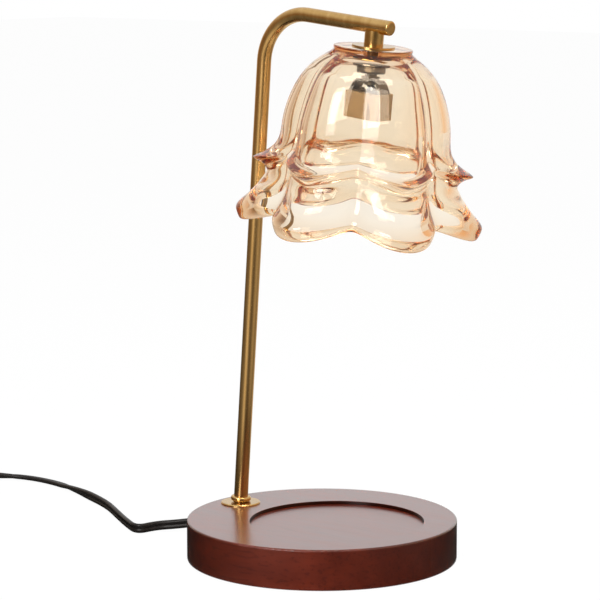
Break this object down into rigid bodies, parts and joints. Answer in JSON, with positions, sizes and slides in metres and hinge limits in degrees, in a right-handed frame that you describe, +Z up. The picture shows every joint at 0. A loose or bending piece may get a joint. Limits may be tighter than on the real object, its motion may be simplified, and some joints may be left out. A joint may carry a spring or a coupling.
{
  "type": "candle warmer lamp",
  "caption": "Candle warmer: a bent brass tube on a round wooden base with a jar seat carries a two-tier glass flower shade and a lamp socket; flat cord with thumb-wheel dimmer.",
  "frame": {"origin": "middle of the base's underside, on the surface that it stands on", "axes": "+Z up, +X from the stem towards the candle seat, along the arm"},
  "size_m": [0.4297, 0.1891, 0.3046],
  "materials": {
    "stained_wood": "satin varnish",
    "pad_rubber": "matte",
    "polished_brass": "polished",
    "zinc_steel": "plated",
    "amber_glass": "clear, tinted",
    "socket_ceramic": "unglazed",
    "contact_brass": "plain",
    "gasket_rubber": "matte",
    "tie_plastic": "matte",
    "dimmer_plastic": "fine spark texture",
    "wheel_plastic": "satin",
    "cord_pvc": "satin"
  },
  "bodies": {
    "lamp": {"arm_end_cap": "polished_brass", "base_pad": "pad_rubber", "bracket_nuts": "zinc_steel", "clamp_nut": "zinc_steel", "clamp_washer": "zinc_steel", "cord_coil": "cord_pvc", "cord_grommet": "gasket_rubber", "cord_link": "cord_pvc", "cord_run": "cord_pvc", "cord_tail": "cord_pvc", "cord_tie": "tie_plastic", "dimmer_lower_shell": "dimmer_plastic", "dimmer_pot": "wheel_plastic", "dimmer_upper_shell": "dimmer_plastic", "foot_flange": "polished_brass", "glass_shade": "amber_glass", "inner_cord": "cord_pvc", "lamp_leads": "cord_pvc", "lower_washer": "zinc_steel", "neck_nipple": "zinc_steel", "neck_sleeve": "polished_brass", "plug_blades": "contact_brass", "plug_body": "dimmer_plastic", "shade_gasket": "gasket_rubber", "shade_nut": "zinc_steel", "shade_washer": "polished_brass", "shell_screws": "zinc_steel", "socket_body": "socket_ceramic", "socket_bracket": "zinc_steel", "socket_contacts": "contact_brass", "socket_screws": "zinc_steel", "stem_collar": "polished_brass", "stem_tube": "polished_brass", "wood_base": "stained_wood"},
    "thumb_wheel": {"dimmer_wheel": "wheel_plastic", "wheel_shaft": "zinc_steel"}
  },
  "joints": [
    {"name": "dimmer_turn", "type": "hinge", "parent": "lamp", "child": "thumb_wheel", "pos_m": [-0.3226, -0.0337, 0.0125], "axis": [0.9272, -0.3746, 0], "range_deg": [0, 270]}
  ]
}
